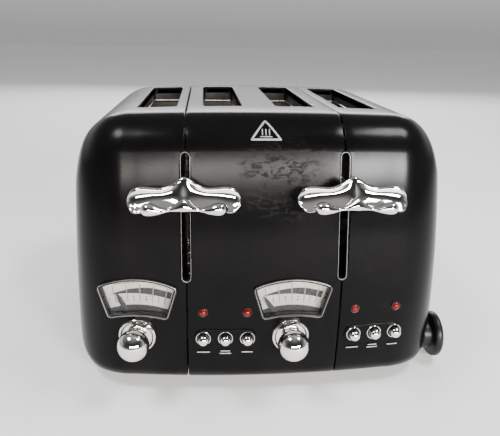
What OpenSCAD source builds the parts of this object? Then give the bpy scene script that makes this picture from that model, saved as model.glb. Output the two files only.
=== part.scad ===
// Four-slice pop up toaster with two front levers. Millimetres, +Z up, the front faces -Y.
// Every piece is drawn about the body's own middle planes. in_frame() then moves it so that the
// origin lies on the ground, under the middle of the whole object's box.

/* [Body] */
// Width of the body at mid height
body_w = 284; // [282:1:286]
// Depth of the body, front to rear
body_d = 286; // [284:1:288]
// Height of the top above the ground
body_h = 208.3; // [207:0.1:210]
// Height of the shells' lower edge above the ground
ground_gap = 6; // [5.5:0.5:6]
// Thickness of the shells
wall = 1.6; // [1.4:0.1:1.8]
// Distance of each seam from the middle
seam_x = 56.5; // [56:0.5:57]
// Gap between two shells at a seam
seam_gap = 0.8; // [0.6:0.1:1]

/* [Roundings] */
// Upright corners, seen from above
corner_plan = 45; // [44:1:46]
// Top side corners, seen from the front
corner_top = 42; // [41:1:43]
// Bottom side corners, seen from the front
corner_low = 20; // [19:1:21]
// Top front edge
edge_front = 24; // [23:1:25]
// Top rear edge
edge_back = 42; // [41:1:43]
// Bottom front and rear edges
edge_low = 14; // [13:1:14]

/* [Bread slots] */
// Width of a bread slot
slot_w = 30; // [29:0.5:30]
// Front end of the slots, behind the middle
slot_front = -67; // [-67:1:-66]
// Rear end of the slots
slot_back = 84; // [83:1:84]
// Distance of the inner slots from the middle
slot_in = 28.5; // [28:0.5:29]
// Distance of the outer slots from the middle
slot_out = 79.6; // [79:0.1:80]

/* [Levers] */
// How far a lever goes down from rest
lever_drop = 60; // [56:1:60]
// How far a lever lifts above rest
lever_lift = 14; // [10:1:14]
// Height of the lever's stem at rest
lever_z = 159; // [159:0.5:160]
// Lower end of the lever slots
lever_slot_low = 91.7; // [90:0.1:92]
// Upper end of the lever slots
lever_slot_high = 184.7; // [184:0.1:186]
// Half the width of a lever, to its outer lobes
lever_half_w = 37.5; // [36:0.5:38]

/* [Controls] */
// Distance of a gauge from its seam
gauge_offset = 35.8; // [35:0.1:36]
// Distance of a knob from its seam
knob_offset = 36.7; // [36:0.1:37]
// Height of the knobs
knob_z = 49.2; // [49:0.1:51]
// Radius of a knob's ball
knob_r = 11.5; // [11:0.1:11.6]
// How far the ball's centre stands out
knob_out = 14; // [13:0.5:19]
// Distance of the middle button from its seam
button_offset = 28; // [27.8:0.1:28.2]
// Spacing of the buttons
button_pitch = 16.3; // [16:0.1:16.5]
// Height of the buttons
button_z = 47.8; // [46:0.1:48]
// Radius of a button's ball
button_r = 4.3; // [4.1:0.1:4.3]
// Height of the lamps
lamp_z = 68.7; // [68:0.1:69]
// Radius of a lamp
lamp_r = 2.9; // [2.5:0.1:3]

/* [Base] */
// Distance of a foot from the middle, side to side
foot_x = 108; // [106:1:109]
// Distance of a foot from the middle, front to rear
foot_y = 105; // [104:1:106]
// Radius of the disc on the right side
disc_r = 19; // [18.5:0.1:19]

/* [Hidden] */
$fn = 48;

// The body's middle in the row's frame: the disc on the right and the knobs in front stand out
mid_x = -5.3;
mid_y = 11.1;

// The skin's slow curves: crown across the front, crown of the top, lean of the front, taper
crown = 0.0006;
top_crown = 0.0002;
lean = 0.0012;
lean_z = 63;
taper = 0.00019;
taper_z = 110;

// Where the middle shell's top meets its front and its rear
seam_y = 100;

half_w = body_w / 2;
half_d = body_d / 2;
floor_z = ground_gap + wall;
pan_t = 1.4;
inside_z = floor_z + pan_t;
hair = 0.05;

// Chamber
chamber_front = -72.8;
chamber_back = 90;
plate_t = 1.2;
plate_half_w = 112;
plate_top = 190;
reflector_x = 104;
heater_x = [8.5, 54, 99.6];
heater_low = 46;
heater_high = 188;
card_t = 0.8;
slot_x = [-slot_out, -slot_in, slot_in, slot_out];
liner_t = 1.2;
liner_low = 194;

// Lift mechanism
rod_y = -92;
rod_r = 2.5;
running_fit = 0.05;
bush_low = 110;
bush_high = 168;
bar_front = -87.5;
bar_back = -84.5;
bar_low = 109;
bar_high = 121;
rack_low = 111;
rack_high = 119;
guide_out = 12.5;
guide_move = 4;
guide_bar = 1.6;
guide_low = 62;
guide_high = 184;

// Crumb trays
tray_in = 8;
tray_out = 108;
tray_high = 18;
tray_front = -66;
lip_y = 142;
lip_z = 18;
tray_hole_low = 11;
tray_hole_high = 24.5;

// Gauges
gauge_z = 78;
gauge_tilt = -2.06;
gauge_set = 0.27;
fan_top_half = 28.3;
fan_low_half = 21.2;
fan_top_side = 87.5 - gauge_z;
fan_top_mid = 93.7 - gauge_z;
fan_low_side = 63.9 - gauge_z;
fan_low_mid = 66.2 - gauge_z;
pointer_rest = [27, 34];

// Heat-mark badge on the top front edge
badge_y = -116;
badge_z = 198;
badge_slope = 54;

gauge_x = [-seam_x - gauge_offset, seam_x - gauge_offset];
knob_x = [-seam_x - knob_offset, seam_x - knob_offset];
button_x = [-seam_x + button_offset, seam_x + button_offset];
lamp_x = [11.7, 43.8];
disc_y = -98;
disc_z = 20.3;

function sq(v) = v * v;

// How far a rounded side of radius r has drawn in at station x, on a skin w inside the outer one
function drawn_in(x, r, w) =
    let (t = min(1, max(0, (abs(x) - (half_w - r)) / (r - w))))
    (r - w) * (1 - sqrt(1 - t * t));

// Height of the underside of the shells' top at x
function top_under(x) = body_h - top_crown * x * x - wall;

// Height of the front's surface behind -half_d at x, before the lean
function front_bow(x) = crown * sq(min(abs(x), half_w - corner_plan));

function front_y(x) = -half_d + front_bow(x);

// Points of an arc in the YZ plane
function arc(cy, cz, r, from, to, steps) =
    [for (i = [0:steps]) let (a = from + (to - from) * i / steps) [cy + r * cos(a), cz + r * sin(a)]];

// The closed section of the body at station x, on a skin w inside the outer one
function section(x, w) =
    let (
        yf = front_y(x) + w + drawn_in(x, corner_plan, w),
        yb = half_d - crown * x * x - w - drawn_in(x, corner_plan, w),
        zt = body_h - top_crown * x * x - w - drawn_in(x, corner_top, w),
        zb = ground_gap + w + drawn_in(x, corner_low, w),
        rf = edge_front - w,
        rb = edge_back - w,
        rl = edge_low - w,
        front = concat(
            arc(yf + rl, zb + rl, rl, 270, 180, 5),
            [for (i = [1:5]) [yf, zb + rl + (zt - rf - zb - rl) * i / 6]],
            arc(yf + rf, zt - rf, rf, 180, 90, 8)
        ),
        back = concat(
            arc(yb - rb, zt - rb, rb, 90, 0, 9),
            arc(yb - rl, zb + rl, rl, 0, -90, 5)
        )
    )
    concat([for (p = front) [p[0] + lean * sq(p[1] - lean_z), p[1]]], back);

function ring(x, w) =
    [for (p = section(x, w)) [x * (1 - taper * (p[1] - taper_z) * sq(x / half_w)), p[0], p[1]]];

// Triangles that join rings of n points: the side walls and two end caps
function loft_faces(n, m) = concat(
    [[for (j = [n - 1:-1:0]) j]],
    [[for (j = [0:n - 1]) (m - 1) * n + j]],
    [for (i = [0:m - 2]) for (j = [0:n - 1]) let (k = (j + 1) % n) [i * n + j, i * n + k, (i + 1) * n + k]],
    [for (i = [0:m - 2]) for (j = [0:n - 1]) let (k = (j + 1) % n) [i * n + j, (i + 1) * n + k, (i + 1) * n + j]]
);

module loft(rings) {
    polyhedron(points = [for (r = rings) each r], faces = loft_faces(len(rings[0]), len(rings)));
}

module skin(stations, w) {
    loft([for (x = stations) ring(x, w)]);
}

// Stations from a seam to the right side, closer together round the corner
function side_stations(from, w) =
    let (start = half_w - corner_plan)
    concat(
        [for (i = [0:2]) from + (start - from) * i / 3],
        [for (a = [0:9:90]) start + (corner_plan - w) * sin(a)]
    );

function even_stations(from, to, steps) = [for (i = [0:steps]) from + (to - from) * i / steps];

// A rectangle with round corners
function round_rect(w, d, r, steps = 5) = [
    for (q = [0:3]) for (i = [0:steps])
        let (
            a = 90 * q + 90 * i / steps,
            cx = (q == 0 || q == 3 ? 1 : -1) * (w / 2 - r),
            cy = (q < 2 ? 1 : -1) * (d / 2 - r)
        )
        [cx + r * cos(a), cy + r * sin(a)]
];

// Three points that round a corner at c, with p before it and n after it
function soft_corner(p, c, n, cut) =
    let (
        a = c + (p - c) * cut / norm(p - c),
        b = c + (n - c) * cut / norm(n - c)
    )
    [for (t = [0:0.25:1]) (1 - t) * (1 - t) * a + 2 * t * (1 - t) * c + t * t * b];

// Height above the middle of a shallow arc through (half, side) and (0, mid)
function shallow(x, half, side, mid) = side + (mid - side) * (1 - sq(x / half));

// The gauge window's outline, grown by g. x across, y up
function fan(g) =
    let (
        th = fan_top_half + g * 1.2,
        lh = fan_low_half + g,
        ts = fan_top_side + g,
        tm = fan_top_mid + g,
        ls = fan_low_side - g,
        lm = fan_low_mid - g,
        top = [for (i = [-5:5]) let (x = th * i / 6) [x, shallow(x, th, ts, tm)]],
        low = [for (i = [3:-1:-3]) let (x = lh * i / 4) [x, shallow(x, lh, ls, lm)]],
        tr = [th, ts],
        lr = [lh, ls],
        tl = [-th, ts],
        ll = [-lh, ls]
    )
    concat(
        top,
        soft_corner(top[10], tr, lr, 2.4),
        soft_corner(tr, lr, low[0], 2.4),
        low,
        soft_corner(low[6], ll, tl, 2.4),
        soft_corner(ll, tl, top[0], 2.4)
    );

module in_frame() {
    translate([mid_x, mid_y, 0]) children();
}

module mirror_left(side) {
    if (side < 0) {
        mirror([1, 0, 0]) children();
    } else {
        children();
    }
}

// The front's tangent plane at x: local -Y points straight out of the casing
module at_panel(x) {
    translate([x, front_y(x), 0]) rotate([0, 0, atan(2 * crown * x)]) children();
}

// The gauge's own plane, which leans with the front
module at_gauge(x) {
    at_panel(x) translate([0, gauge_set, gauge_z]) rotate([gauge_tilt, 0, 0]) children();
}

// Extrudes an outline drawn in x and z from y = from to y = to
module upright(from, to) {
    translate([0, to, 0]) rotate([90, 0, 0]) linear_extrude(to - from) children();
}

// A round bar along local Y
module bar_y(r, from, to) {
    translate([0, to, 0]) rotate([90, 0, 0]) cylinder(r = r, h = to - from);
}

module lever_slot(r, from, to) {
    low = lever_slot_low + 4.2;
    high = lever_slot_high - 4.2;
    upright(from, to) polygon(concat(
        [for (a = [0:15:180]) [r * cos(a), high + r * sin(a)]],
        [for (a = [180:15:360]) [r * cos(a), low + r * sin(a)]]
    ));
}

module slot_prism(x, grow, from, to) {
    translate([x, (slot_front + slot_back) / 2, from]) linear_extrude(to - from)
        polygon(round_rect(slot_w + 2 * grow, slot_back - slot_front + 2 * grow, 4 + grow));
}

// Steel frames that line the bread slots, just under the shells' top
module slot_liners() {
    color([0.25, 0.25, 0.26]) in_frame() for (x = slot_x) difference() {
        slot_prism(x, liner_t, liner_low, top_under(abs(x) + slot_w / 2 + liner_t) - hair);
        slot_prism(x, 0, liner_low - 1, body_h);
    }
}

// The opening under the casing that the base pan closes
module base_opening() {
    translate([0, 2, 0]) linear_extrude(floor_z + 1) polygon(round_rect(192, 190, 10));
}

module tray_opening() {
    for (s = [-1, 1]) mirror_left(s) translate([tray_in - 1, half_d - 30, tray_hole_low])
        cube([tray_out - tray_in + 2, 40, tray_hole_high - tray_hole_low]);
}

// Openings of one unit: gauge, knob, buttons and lamps. i is 0 on the left and 1 on the right
module unit_openings(i) {
    at_gauge(gauge_x[i]) upright(-20, 12) polygon(fan(0.1));
    at_panel(knob_x[i]) translate([0, 0, knob_z]) bar_y(5, -20, 12);
    at_panel(button_x[i]) {
        for (k = [-1:1]) translate([k * button_pitch, 0, button_z]) bar_y(5.2, -20, 12);
    }
    for (k = [0:1]) at_lamp(i, k) bar_y(lamp_r + 0.1, -20, 12);
}

module at_lamp(i, k) {
    at_panel((i == 0 ? -1 : 1) * seam_x + lamp_x[k]) translate([0, 0, lamp_z]) children();
}

module screw_places() {
    for (p = [[-106, -40], [106, -40], [-106, 60], [106, 60], [0, -108], [0, 112]])
        translate([p[0], p[1], 0]) children();
}

module shell_openings() {
    base_opening();
    tray_opening();
    unit_openings(0);
    unit_openings(1);
    for (s = [-1, 1]) translate([s * seam_x, 0, 0]) lever_slot(4.3, -half_d - 10, -half_d + 50);
    for (x = slot_x) slot_prism(x, 0, 190, 220);
    screw_places() cylinder(r = 1.7, h = 12);
}

module side_shell() {
    difference() {
        skin(side_stations(seam_x + seam_gap / 2, 0), 0);
        skin(side_stations(seam_x - 1, wall), wall);
    }
}

module shell_left() {
    color([0.03, 0.03, 0.033]) in_frame() difference() {
        mirror([1, 0, 0]) side_shell();
        shell_openings();
    }
}

module shell_right() {
    color([0.03, 0.03, 0.033]) in_frame() difference() {
        side_shell();
        shell_openings();
        translate([120, disc_y, disc_z]) rotate([0, 90, 0]) cylinder(r = 12.2, h = 40);
    }
}

// A part of the middle shell, which is seamed from a front, a top and a rear. Below mid height it
// reaches from one end to the other, and above it from one seam to the other
module shell_centre(low_from, low_to, high_from, high_to) {
    edge = seam_x - seam_gap / 2;
    color([0.03, 0.03, 0.033]) in_frame() difference() {
        intersection() {
            skin(even_stations(-edge, edge, 6), 0);
            union() {
                translate([-100, low_from, 0]) cube([200, low_to - low_from, 100]);
                translate([-100, high_from, 100]) cube([200, high_to - high_from, 150]);
            }
        }
        skin(even_stations(-edge - 1, edge + 1, 6), wall);
        shell_openings();
        translate([0, half_d, 33]) bar_y(5, -10, 10);
    }
}

module base_pan() {
    color([0.35, 0.35, 0.36]) in_frame() difference() {
        translate([0, 2, floor_z]) linear_extrude(pan_t) polygon(round_rect(232, 244, 38));
        screw_places() cylinder(r = 1.6, h = 12);
        for (x = [-90:20:90]) for (y = [-98, 101])
            translate([x - 6, y - 1.5, 0]) cube([12, 3, 20]);
    }
}

module feet() {
    color([0.02, 0.02, 0.02]) in_frame()
        for (x = [-foot_x, foot_x]) for (y = [-foot_y, foot_y + 3]) translate([x, y, 0])
            rotate_extrude() polygon([[0, 0], [8.5, 0], [9.4, 0.8], [10, 2.4], [10, ground_gap], [0, ground_gap]]);
}

module base_screws() {
    color("silver") in_frame() screw_places() translate([0, 0, ground_gap - 1.6]) {
        difference() {
            cylinder(r = 3, h = 1.6);
            translate([-2.4, -0.4, -1]) cube([4.8, 0.8, 1.7]);
        }
        cylinder(r = 1.45, h = inside_z - ground_gap + 2);
    }
}

// Slots of a chamber plate: rack arms, and the bread guides' end wires
module plate_slots(y) {
    for (x = slot_x) {
        translate([x - 2.5, y - 5, rack_low - lever_drop - 3])
            cube([5, 10, rack_high - rack_low + lever_drop + lever_lift + 6]);
        for (s = [-1, 1]) for (z = [guide_low, guide_high]) {
            near = guide_out - guide_move - 1.3;
            far = guide_out + 2.3;
            translate([x + (s < 0 ? -far : near), y - 5, z - 1.3]) cube([far - near, 10, 2.6]);
        }
    }
}

module front_plate() {
    color([0.6, 0.6, 0.58]) in_frame() difference() {
        union() {
            translate([-plate_half_w, chamber_front - plate_t, inside_z])
                cube([2 * plate_half_w, plate_t, plate_top + 2 - inside_z]);
            for (s = [-1, 1]) translate([s * seam_x - 9, rod_y - 8, plate_top])
                cube([18, chamber_front - rod_y + 8, 2]);
        }
        plate_slots(chamber_front);
        for (s = [-1, 1]) translate([s * seam_x, rod_y, plate_top - 1]) cylinder(r = rod_r + running_fit, h = 5);
    }
}

module rear_plate() {
    color([0.6, 0.6, 0.58]) in_frame() difference() {
        translate([-plate_half_w, chamber_back, inside_z])
            cube([2 * plate_half_w, plate_t, plate_top + 2 - inside_z]);
        plate_slots(chamber_back);
        for (s = [-1, 1]) translate([s * (tray_in + tray_out) / 2 - 52, chamber_back - 5, inside_z - 1])
            cube([104, 10, 17]);
    }
}

module side_reflectors() {
    color([0.72, 0.72, 0.7]) in_frame() for (s = [-1, 1]) mirror_left(s)
        translate([reflector_x, chamber_front, 26])
            cube([plate_t, chamber_back - chamber_front, plate_top - 26]);
}

module centre_divider() {
    color([0.72, 0.72, 0.7]) in_frame() translate([-1.5, chamber_front, inside_z])
        cube([3, chamber_back - chamber_front, plate_top - inside_z]);
}

module heater_cards() {
    color([0.78, 0.7, 0.55]) in_frame() for (side = [-1, 1]) mirror_left(side) for (x = heater_x)
        translate([x - card_t / 2, chamber_front, heater_low])
            cube([card_t, chamber_back - chamber_front, heater_high - heater_low]);
}

// One ribbon that runs to and fro up a card's face
module ribbon(x) {
    pitch = 9.2;
    rows = 14;
    for (i = [0:rows]) translate([x, -64, heater_low + 6 + i * pitch]) cube([0.4, 146, 1.4]);
    for (i = [0:rows - 1])
        translate([x, i % 2 == 0 ? 80.6 : -64, heater_low + 6 + i * pitch]) cube([0.4, 1.4, pitch + 1.4]);
}

module heater_wires() {
    color([0.45, 0.4, 0.38]) in_frame() for (side = [-1, 1]) mirror_left(side) for (x = heater_x) {
        ribbon(x + card_t / 2);
        ribbon(x - card_t / 2 - 0.4);
    }
}

// A light rim round a lever slot, which follows the front
module slot_bezel(side) {
    stations = even_stations(seam_x - 6, seam_x + 6, 2);
    color([0.75, 0.75, 0.76]) in_frame() mirror_left(side) difference() {
        intersection() {
            skin(stations, -0.6);
            translate([seam_x, 0, 0]) difference() {
                lever_slot(4.2, -half_d - 10, -half_d + 45);
                lever_slot(3.1, -half_d - 12, -half_d + 47);
            }
        }
        skin(even_stations(seam_x - 8, seam_x + 8, 2), 2.4);
    }
}

module gauge_bezel(i) {
    color([0.2, 0.2, 0.21]) in_frame() at_gauge(gauge_x[i]) difference() {
        union() {
            upright(-1.3, -hair) polygon(fan(1.5));
            upright(-0.5, 4.2) polygon(fan(0));
        }
        upright(-3, 6) polygon(fan(-1.2));
    }
}

module gauge_lens(i) {
    color([0.85, 0.9, 0.92, 0.35]) in_frame() at_gauge(gauge_x[i])
        upright(0.2, 1.4) polygon(fan(-1.25));
}

module gauge_dial(i) {
    color([0.82, 0.82, 0.8]) in_frame() at_gauge(gauge_x[i]) upright(7.2, 8.2) polygon(fan(1));
}

module gauge_pointer(i) {
    color([0.12, 0.12, 0.13]) in_frame() at_panel(knob_x[i]) translate([0, 0, knob_z])
        rotate([0, -pointer_rest[i], 0]) difference() {
            union() {
                bar_y(5, 5, 5.7);
                upright(5, 5.7) polygon([[-2.2, 0], [2.2, 0], [1.3, 26], [0.4, 35], [-0.4, 35], [-1.3, 26]]);
            }
            bar_y(3.02, 3, 8);
        }
}

// The knob's outline from its shaft to its ball: radius, then distance out of the casing
module knob(i) {
    neck = 7.2;
    foot_angle = asin(neck / knob_r);
    color([0.85, 0.85, 0.86]) in_frame() at_panel(knob_x[i]) translate([0, 0, knob_z]) rotate([90, 0, 0])
        rotate_extrude() polygon(concat(
            [[0, -16], [3, -16], [3, 0.6], [10.8, 0.6], [11.3, 1.4], [10.8, 2.1]],
            [[9.5, 1.9], [9, 2.8], [8.2, 4.2], [7.5, 4.9]],
            [for (a = [-90 + foot_angle:10:80]) [knob_r * cos(a), knob_out + knob_r * sin(a)]],
            [[0, knob_out + knob_r]]
        ));
}

module knob_collars() {
    color([0.8, 0.8, 0.8]) in_frame() for (x = knob_x) at_panel(x) translate([0, 0, knob_z]) rotate([90, 0, 0])
        rotate_extrude() polygon([[11.8, hair], [13.8, hair], [13.8, 1.6], [13.3, 2.6], [12.6, 2.9], [12, 2.5], [11.8, 1.8]]);
}

function pill(half, r) = concat(
    [for (a = [-90:15:90]) [half + r * cos(a), r * sin(a)]],
    [for (a = [90:15:270]) [-half + r * cos(a), r * sin(a)]]
);

module at_buttons(i) {
    at_panel(button_x[i]) translate([0, 0, button_z]) children();
}

module button_plates() {
    color([0.04, 0.04, 0.043]) in_frame() for (i = [0:1]) at_buttons(i) difference() {
        upright(-0.7, -hair) polygon(pill(button_pitch, 7.2));
        for (k = [-1:1]) translate([k * button_pitch, 0, 0]) bar_y(5.2, -3, 3);
    }
}

module button_rings() {
    color([0.8, 0.8, 0.8]) in_frame() for (i = [0:1]) at_buttons(i)
        for (k = [-1:1]) translate([k * button_pitch, 0, 0]) rotate([90, 0, 0]) rotate_extrude()
            polygon([[4.6, -2.6], [5.1, -2.6], [5.1, 0.75], [5.8, 0.75], [5.8, 1.1], [5.3, 1.5], [4.8, 1.4], [4.6, 1.1]]);
}

module button(i, k) {
    stem = 2.6;
    color([0.85, 0.85, 0.86]) in_frame() at_buttons(i) translate([k * button_pitch, 0, 0])
        rotate([90, 0, 0]) rotate_extrude() polygon(concat(
            [[0, -11], [stem, -11], [stem, -1.5], [4, -1.5], [4, 0.2]],
            [for (a = [-50:10:80]) [button_r * cos(a), 3.2 + button_r * sin(a)]],
            [[0, 3.2 + button_r]]
        ));
}

module lamps() {
    color([0.8, 0.05, 0.04]) in_frame() for (i = [0:1]) for (k = [0:1]) at_lamp(i, k) rotate([90, 0, 0])
        rotate_extrude() polygon([[0, -6], [2.6, -6], [2.6, -2.2], [lamp_r, -2.2], [lamp_r, 0.3], [2.5, 0.9], [1.5, 1.3], [0, 1.4]]);
}

// Circuit board behind one unit, with the knob's potentiometer, the switches and some parts
module control_board(i) {
    board_y = -119;
    side = i == 0 ? -1 : 1;
    low = i == 0 ? -122 : -3;
    high = i == 0 ? -9 : 113;
    color([0.16, 0.3, 0.16]) in_frame() {
        difference() {
            union() {
                translate([low, board_y, 34]) cube([high - low, 1.4, 52]);
                at_panel(knob_x[i]) translate([0, 0, knob_z]) bar_y(8, 9, 19.5 - front_bow(knob_x[i]) + 3.6);
            }
            at_panel(knob_x[i]) translate([0, 0, knob_z]) bar_y(rod_r + 0.5 + running_fit, 8, 17);
        }
        for (k = [-1:1]) translate([button_x[i] + k * button_pitch - 3, board_y - 4, button_z - 3])
            cube([6, 4, 6]);
        for (x = i == 0 ? [-86, -15] : [-1, 77]) translate([x, board_y, inside_z]) cube([4, 4, 34 - inside_z]);
        translate([side * seam_x + (i == 0 ? -30 : 24), board_y + 1.4, 60]) cube([16, 9, 14]);
        translate([side * seam_x + (i == 0 ? 14 : -40), board_y + 1.4, 42]) cube([10, 12, 10]);
    }
}

module electromagnets() {
    color([0.5, 0.35, 0.2]) in_frame() for (s = [-1, 1]) mirror_left(s) translate([seam_x + 8, rod_y - 6, 0]) {
        translate([0, 0, inside_z]) cube([15, 12, 4]);
        translate([3, 1.5, inside_z]) cube([9, 9, 35]);
        translate([1, 0, inside_z + 8]) cube([13, 12, 22]);
    }
}

module guide_rods() {
    color("silver") in_frame() for (s = [-1, 1]) translate([s * seam_x, rod_y, inside_z])
        cylinder(r = rod_r, h = plate_top + 2 - inside_z);
}

// A coil of square-ish wire round the rod
module lift_spring(side) {
    turns = 11;
    steps = 12;
    coil_r = 4.1;
    wire_r = 0.6;
    low = inside_z + 1;
    high = bush_low - 2;
    count = turns * steps;
    color([0.6, 0.6, 0.62]) in_frame() translate([side * seam_x, rod_y, 0])
        loft([for (i = [0:count]) let (a = 360 * i / steps, z = low + (high - low) * i / count)
            [for (b = [0:72:288]) let (r = coil_r + wire_r * cos(b)) [r * cos(a), r * sin(a), z + wire_r * sin(b)]]]);
}

// The lever's section at distance u from its middle, as y (out is negative) and z about the stem
function lever_section(u) =
    let (
        v = abs(u) / lever_half_w,
        peak = exp(-sq(v / 0.24)),
        lobe = exp(-sq((v - 0.72) / 0.26)),
        end = v < 0.8 ? 1 : sqrt(max(0.02, 1 - sq((v - 0.8) / 0.2))),
        lip = v < 0.58 ? 1 : sqrt(max(0.004, 1 - sq(min(1, (v - 0.58) / 0.2)))),
        bulb = exp(-sq((v - 0.56) / 0.2)),
        top = (4.4 + 8.2 * peak + 2.2 * lobe) * end,
        out = 14 + 4.5 * lip
    )
    [
        [2.2, -5 * end],
        [3.2, 0],
        [2.2, top - 1.2 * end],
        [0, top],
        [-2.6, top - 1.6 * end],
        [-6.5, (1.6 + 3.4 * peak) * end],
        [-11, (-1.6 + 2.8 * peak) * end],
        [-out + 2.5, -1.4 * end + (0.6 + 1.8 * bulb) * lip],
        [-out, -3.2 * end],
        [-out + 2, -(5.2 + 2.6 * bulb * lip) * end],
        [-10, -(5 + 2 * bulb * lip) * end],
        [-4, -6 * end]
    ];

module lever(side) {
    lever_y = -149;
    stations = [for (a = [90:-10:-90]) lever_half_w * sin(a)];
    color([0.85, 0.85, 0.86]) in_frame() translate([side * seam_x, lever_y, lever_z]) difference() {
        loft([for (u = stations) [for (p = lever_section(u)) [u, p[0], p[1]]]]);
        translate([-1.6, -4, -4.6]) cube([3.2, 10, 9.2]);
    }
}

module carriage(side) {
    color([0.55, 0.55, 0.56]) in_frame() mirror_left(side) difference() {
        union() {
            translate([seam_x, rod_y, bush_low]) cylinder(r = 5.5, h = bush_high - bush_low);
            translate([seam_x - 1.5, -152.5, lever_z - 4.5]) cube([3, 152.5 + rod_y - 4, 9]);
            translate([slot_in - 2, bar_front, bar_low])
                cube([slot_out - slot_in + 4, bar_back - bar_front, bar_high - bar_low]);
            translate([seam_x + 4, rod_y - 6, bar_low]) cube([20, bar_back - rod_y + 6, 2]);
        }
        translate([seam_x, rod_y, 0]) cylinder(r = rod_r + running_fit, h = 250);
    }
}

module bread_rack(x) {
    color([0.62, 0.62, 0.63]) in_frame() {
        translate([x - 0.6, bar_back, rack_low]) cube([1.2, 97 - bar_back, rack_high - rack_low]);
        for (y = [-62:12:82]) translate([x - 6, y, rack_high - 1]) cube([12, 2.4, 1]);
    }
}

// One guide cage: upright bars between two rails whose ends run in the chamber plates
module guide_cage(x) {
    half = guide_bar / 2;
    for (z = [guide_low, guide_high]) translate([x - half, chamber_front - 5, z - half])
        cube([guide_bar, chamber_back - chamber_front + 10, guide_bar]);
    for (y = [-58:17:78]) translate([x - half, y - half, guide_low])
        cube([guide_bar, guide_bar, guide_high - guide_low]);
}

// The cages on one side of both slots of a unit. side is -1 or 1, and face is the side of the slot
module bread_guides(side, face) {
    color([0.66, 0.66, 0.66]) in_frame() for (x = [slot_in, slot_out]) guide_cage(side * x + face * guide_out);
}

// A tray slides in between the base and the racks. Its rear end carries on the casing's curve, with
// a lip to pull it by
module crumb_tray(side) {
    gap = 0.7;
    width = tray_out - tray_in;
    middle = (tray_in + tray_out) / 2;
    stations = even_stations(tray_in - 2, tray_out + 2, 6);
    door_low = tray_hole_low + gap;
    door_high = tray_hole_high - gap;
    color([0.5, 0.5, 0.51]) in_frame() mirror_left(side) {
        difference() {
            intersection() {
                skin(stations, 0);
                union() {
                    translate([tray_in, tray_front, door_low]) cube([width, body_d, tray_high - door_low]);
                    translate([tray_in - 1 + gap, half_d - 20, door_low])
                        cube([width + 2 - 2 * gap, 30, door_high - door_low]);
                }
            }
            intersection() {
                skin(even_stations(tray_in - 4, tray_out + 4, 6), 2);
                translate([tray_in + 1, tray_front + 1, door_low + 1]) cube([width - 2, body_d, 30]);
            }
            translate([tray_in - 1, half_d - 21, tray_high]) cube([width + 2, 10, 10]);
        }
        translate([middle, lip_y, lip_z]) rotate([90, 0, 0]) linear_extrude(7, center = true) polygon(pill(14, 1.6));
        translate([middle, lip_y + 2.2, lip_z]) rotate([90, 0, 0]) linear_extrude(2.6, center = true)
            polygon(pill(16, 3.4));
    }
}

module cord_gland() {
    color([0.03, 0.03, 0.03]) in_frame() translate([0, half_d, 33]) rotate([-90, 0, 0]) rotate_extrude()
        polygon([[3.2, -5], [4.9, -5], [4.9, hair], [8, hair], [8, 1.6], [6.5, 3], [3.2, 3]]);
}

module side_disc() {
    color([0.02, 0.02, 0.02]) in_frame() translate([0, disc_y, disc_z]) rotate([0, 90, 0]) rotate_extrude()
        polygon([[0, 132], [12, 132], [12, 146.5], [16.5, 147], [18.4, 148.2], [disc_r, 150], [disc_r, 151.2],
            [18.2, 153], [16.4, 154.2], [13, 154.7], [0, 155]]);
}

// A plain triangle on the top front edge, with three short bars inside
module top_badge() {
    outline = [[-11.6, -9], [11.6, -9], [0, 9.4]];
    inner = [[-9.4, -7.8], [9.4, -7.8], [0, 7.1]];
    color([0.8, 0.8, 0.8]) in_frame() difference() {
        intersection() {
            skin(even_stations(-14, 14, 2), -0.3);
            translate([0, badge_y, badge_z]) rotate([badge_slope, 0, 0]) union() {
                translate([0, 0, -12]) difference() {
                    linear_extrude(30) polygon(outline);
                    translate([0, 0, -1]) linear_extrude(32) polygon(inner);
                }
                for (x = [-3.2, 0, 3.2]) translate([x - 0.5, -5.6, -12]) cube([1, 6, 30]);
            }
        }
        skin(even_stations(-16, 16, 2), -hair);
    }
}

base_pan();
shell_left();
shell_centre(-200, 0, -200, -seam_y);  // shell_centre_front
shell_centre(0, 0, -seam_y, seam_y);  // shell_centre_top
shell_centre(0, 200, seam_y, 200);  // shell_centre_rear
shell_right();
front_plate();
rear_plate();
side_reflectors();
centre_divider();
slot_liners();
heater_cards();
heater_wires();
feet();
base_screws();
slot_bezel(-1);  // slot_bezel_left
slot_bezel(1);  // slot_bezel_right
gauge_bezel(0);  // gauge_bezel_left
gauge_bezel(1);  // gauge_bezel_right
gauge_dial(0);  // gauge_dial_left
gauge_dial(1);  // gauge_dial_right
gauge_lens(0);  // gauge_lens_left
gauge_lens(1);  // gauge_lens_right
gauge_pointer(0);  // gauge_pointer_left
gauge_pointer(1);  // gauge_pointer_right
knob(0);  // knob_left
knob(1);  // knob_right
knob_collars();
button_plates();
button_rings();
button(0, -1);  // button_defrost_left
button(0, 0);  // button_cancel_left
button(0, 1);  // button_reheat_left
button(1, -1);  // button_defrost_right
button(1, 0);  // button_cancel_right
button(1, 1);  // button_reheat_right
lamps();
for (i = [0:1]) control_board(i);  // control_boards
electromagnets();
guide_rods();
lift_spring(-1);  // lift_spring_left
lift_spring(1);  // lift_spring_right
lever(-1);  // lever_left
lever(1);  // lever_right
carriage(-1);  // carriage_left
carriage(1);  // carriage_right
bread_rack(-slot_out);  // bread_rack_1
bread_rack(-slot_in);  // bread_rack_2
bread_rack(slot_in);  // bread_rack_3
bread_rack(slot_out);  // bread_rack_4
bread_guides(-1, -1);  // bread_guides_left_a
bread_guides(-1, 1);  // bread_guides_left_b
bread_guides(1, -1);  // bread_guides_right_a
bread_guides(1, 1);  // bread_guides_right_b
crumb_tray(-1);  // crumb_tray_left
crumb_tray(1);  // crumb_tray_right
cord_gland();
side_disc();
top_badge();
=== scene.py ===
import math

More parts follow.
